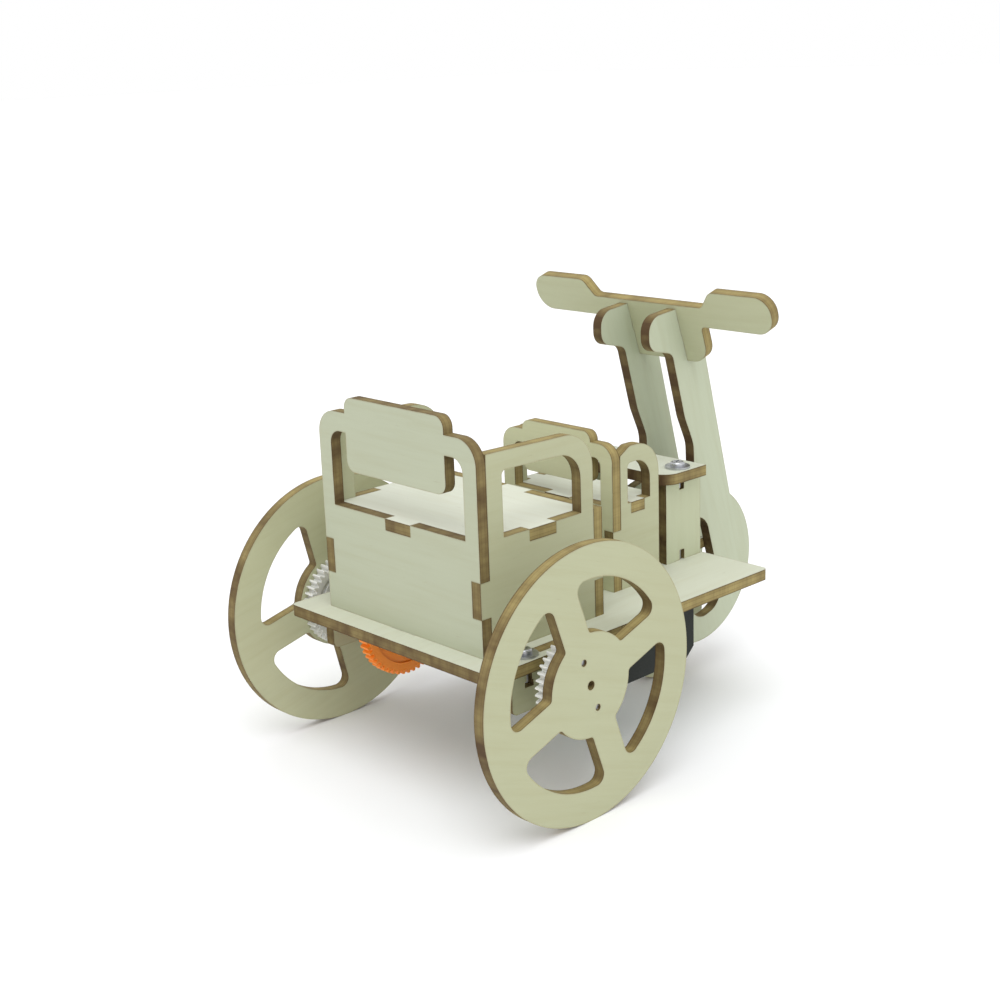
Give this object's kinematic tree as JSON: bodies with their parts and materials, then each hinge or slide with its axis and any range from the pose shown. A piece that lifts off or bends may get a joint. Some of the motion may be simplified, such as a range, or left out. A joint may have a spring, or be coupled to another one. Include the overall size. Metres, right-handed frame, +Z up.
{
  "type": "motorised plywood tricycle kit",
  "caption": "Laser-cut plywood passenger tricycle with driver seat, rear bench, raked fork and handlebar, spoked rear wheels driven by a small motor through spur gears.",
  "frame": {"origin": "middle of the footprint on the plane that the three wheels stand on", "axes": "+X forwards to the handlebar, +Y to the vehicle's left, +Z up"},
  "size_m": [0.129, 0.088, 0.1039],
  "materials": {
    "plywood": "bare laser-cut plywood with browned cut edges",
    "steel": "ground steel rod",
    "screw_zinc": "bright zinc plate",
    "white_nylon": "satin natural nylon",
    "orange_plastic": "satin orange plastic",
    "motor_steel": "plated drawn steel",
    "brass": "turned brass",
    "spring_steel": "bright spring steel",
    "black_plastic": "fine textured black plastic",
    "cell_sleeve": "plain printed sleeve without text",
    "switch_shell": "folded sheet steel"
  },
  "bodies": {
    "chassis": {"base_plate": "plywood", "axle_bracket_left": "plywood", "axle_bracket_right": "plywood", "motor_can": "motor_steel", "motor_bearing": "brass", "motor_end_cap": "white_nylon", "motor_clip": "spring_steel", "battery_holder": "black_plastic", "battery_cells": "cell_sleeve", "battery_contacts": "spring_steel", "battery_screws": "screw_zinc", "switch_body": "switch_shell", "passenger_back": "plywood", "passenger_front": "plywood", "passenger_side_left": "plywood", "passenger_side_right": "plywood", "passenger_seat": "plywood", "driver_back": "plywood", "driver_front": "plywood", "driver_side_left": "plywood", "driver_side_right": "plywood", "driver_seat": "plywood", "column_side_left": "plywood", "column_side_right": "plywood", "column_top": "plywood", "fork_plate_left": "plywood", "fork_plate_right": "plywood", "handlebar": "plywood", "tapping_screws": "screw_zinc", "washers": "screw_zinc"},
    "drive_axle": {"rear_axle": "steel", "rear_wheel_left": "plywood", "rear_wheel_right": "plywood", "hub_gear_left": "white_nylon", "hub_gear_right": "white_nylon", "hub_screws": "screw_zinc", "drive_gear": "orange_plastic"},
    "motor_shaft": {"motor_rotor": "motor_steel", "motor_pinion": "white_nylon"},
    "front_roller": {"front_wheel": "plywood", "front_axle": "steel", "front_spacers": "white_nylon"},
    "switch_slider": {"switch_knob": "black_plastic"}
  },
  "joints": [
    {"name": "drive_axle_spin", "type": "hinge", "parent": "chassis", "child": "drive_axle", "pos_m": [-0.03352, 0, 0.031], "axis": [0, 1, 0], "continuous": true},
    {"name": "motor_spin", "type": "hinge", "parent": "chassis", "child": "motor_shaft", "pos_m": [-0.02582, 0, 0.04387], "axis": [0, 1, 0], "continuous": true},
    {"name": "front_wheel_spin", "type": "hinge", "parent": "chassis", "child": "front_roller", "pos_m": [0.03848, 0, 0.016], "axis": [0, 1, 0], "continuous": true},
    {"name": "switch_slide", "type": "slide", "parent": "chassis", "child": "switch_slider", "axis": [0, 1, 0], "range_m": [0, 0.002]}
  ],
  "couplings": [
    {"joint": "motor_spin", "follows": "drive_axle_spin", "ratio": -5}
  ]
}
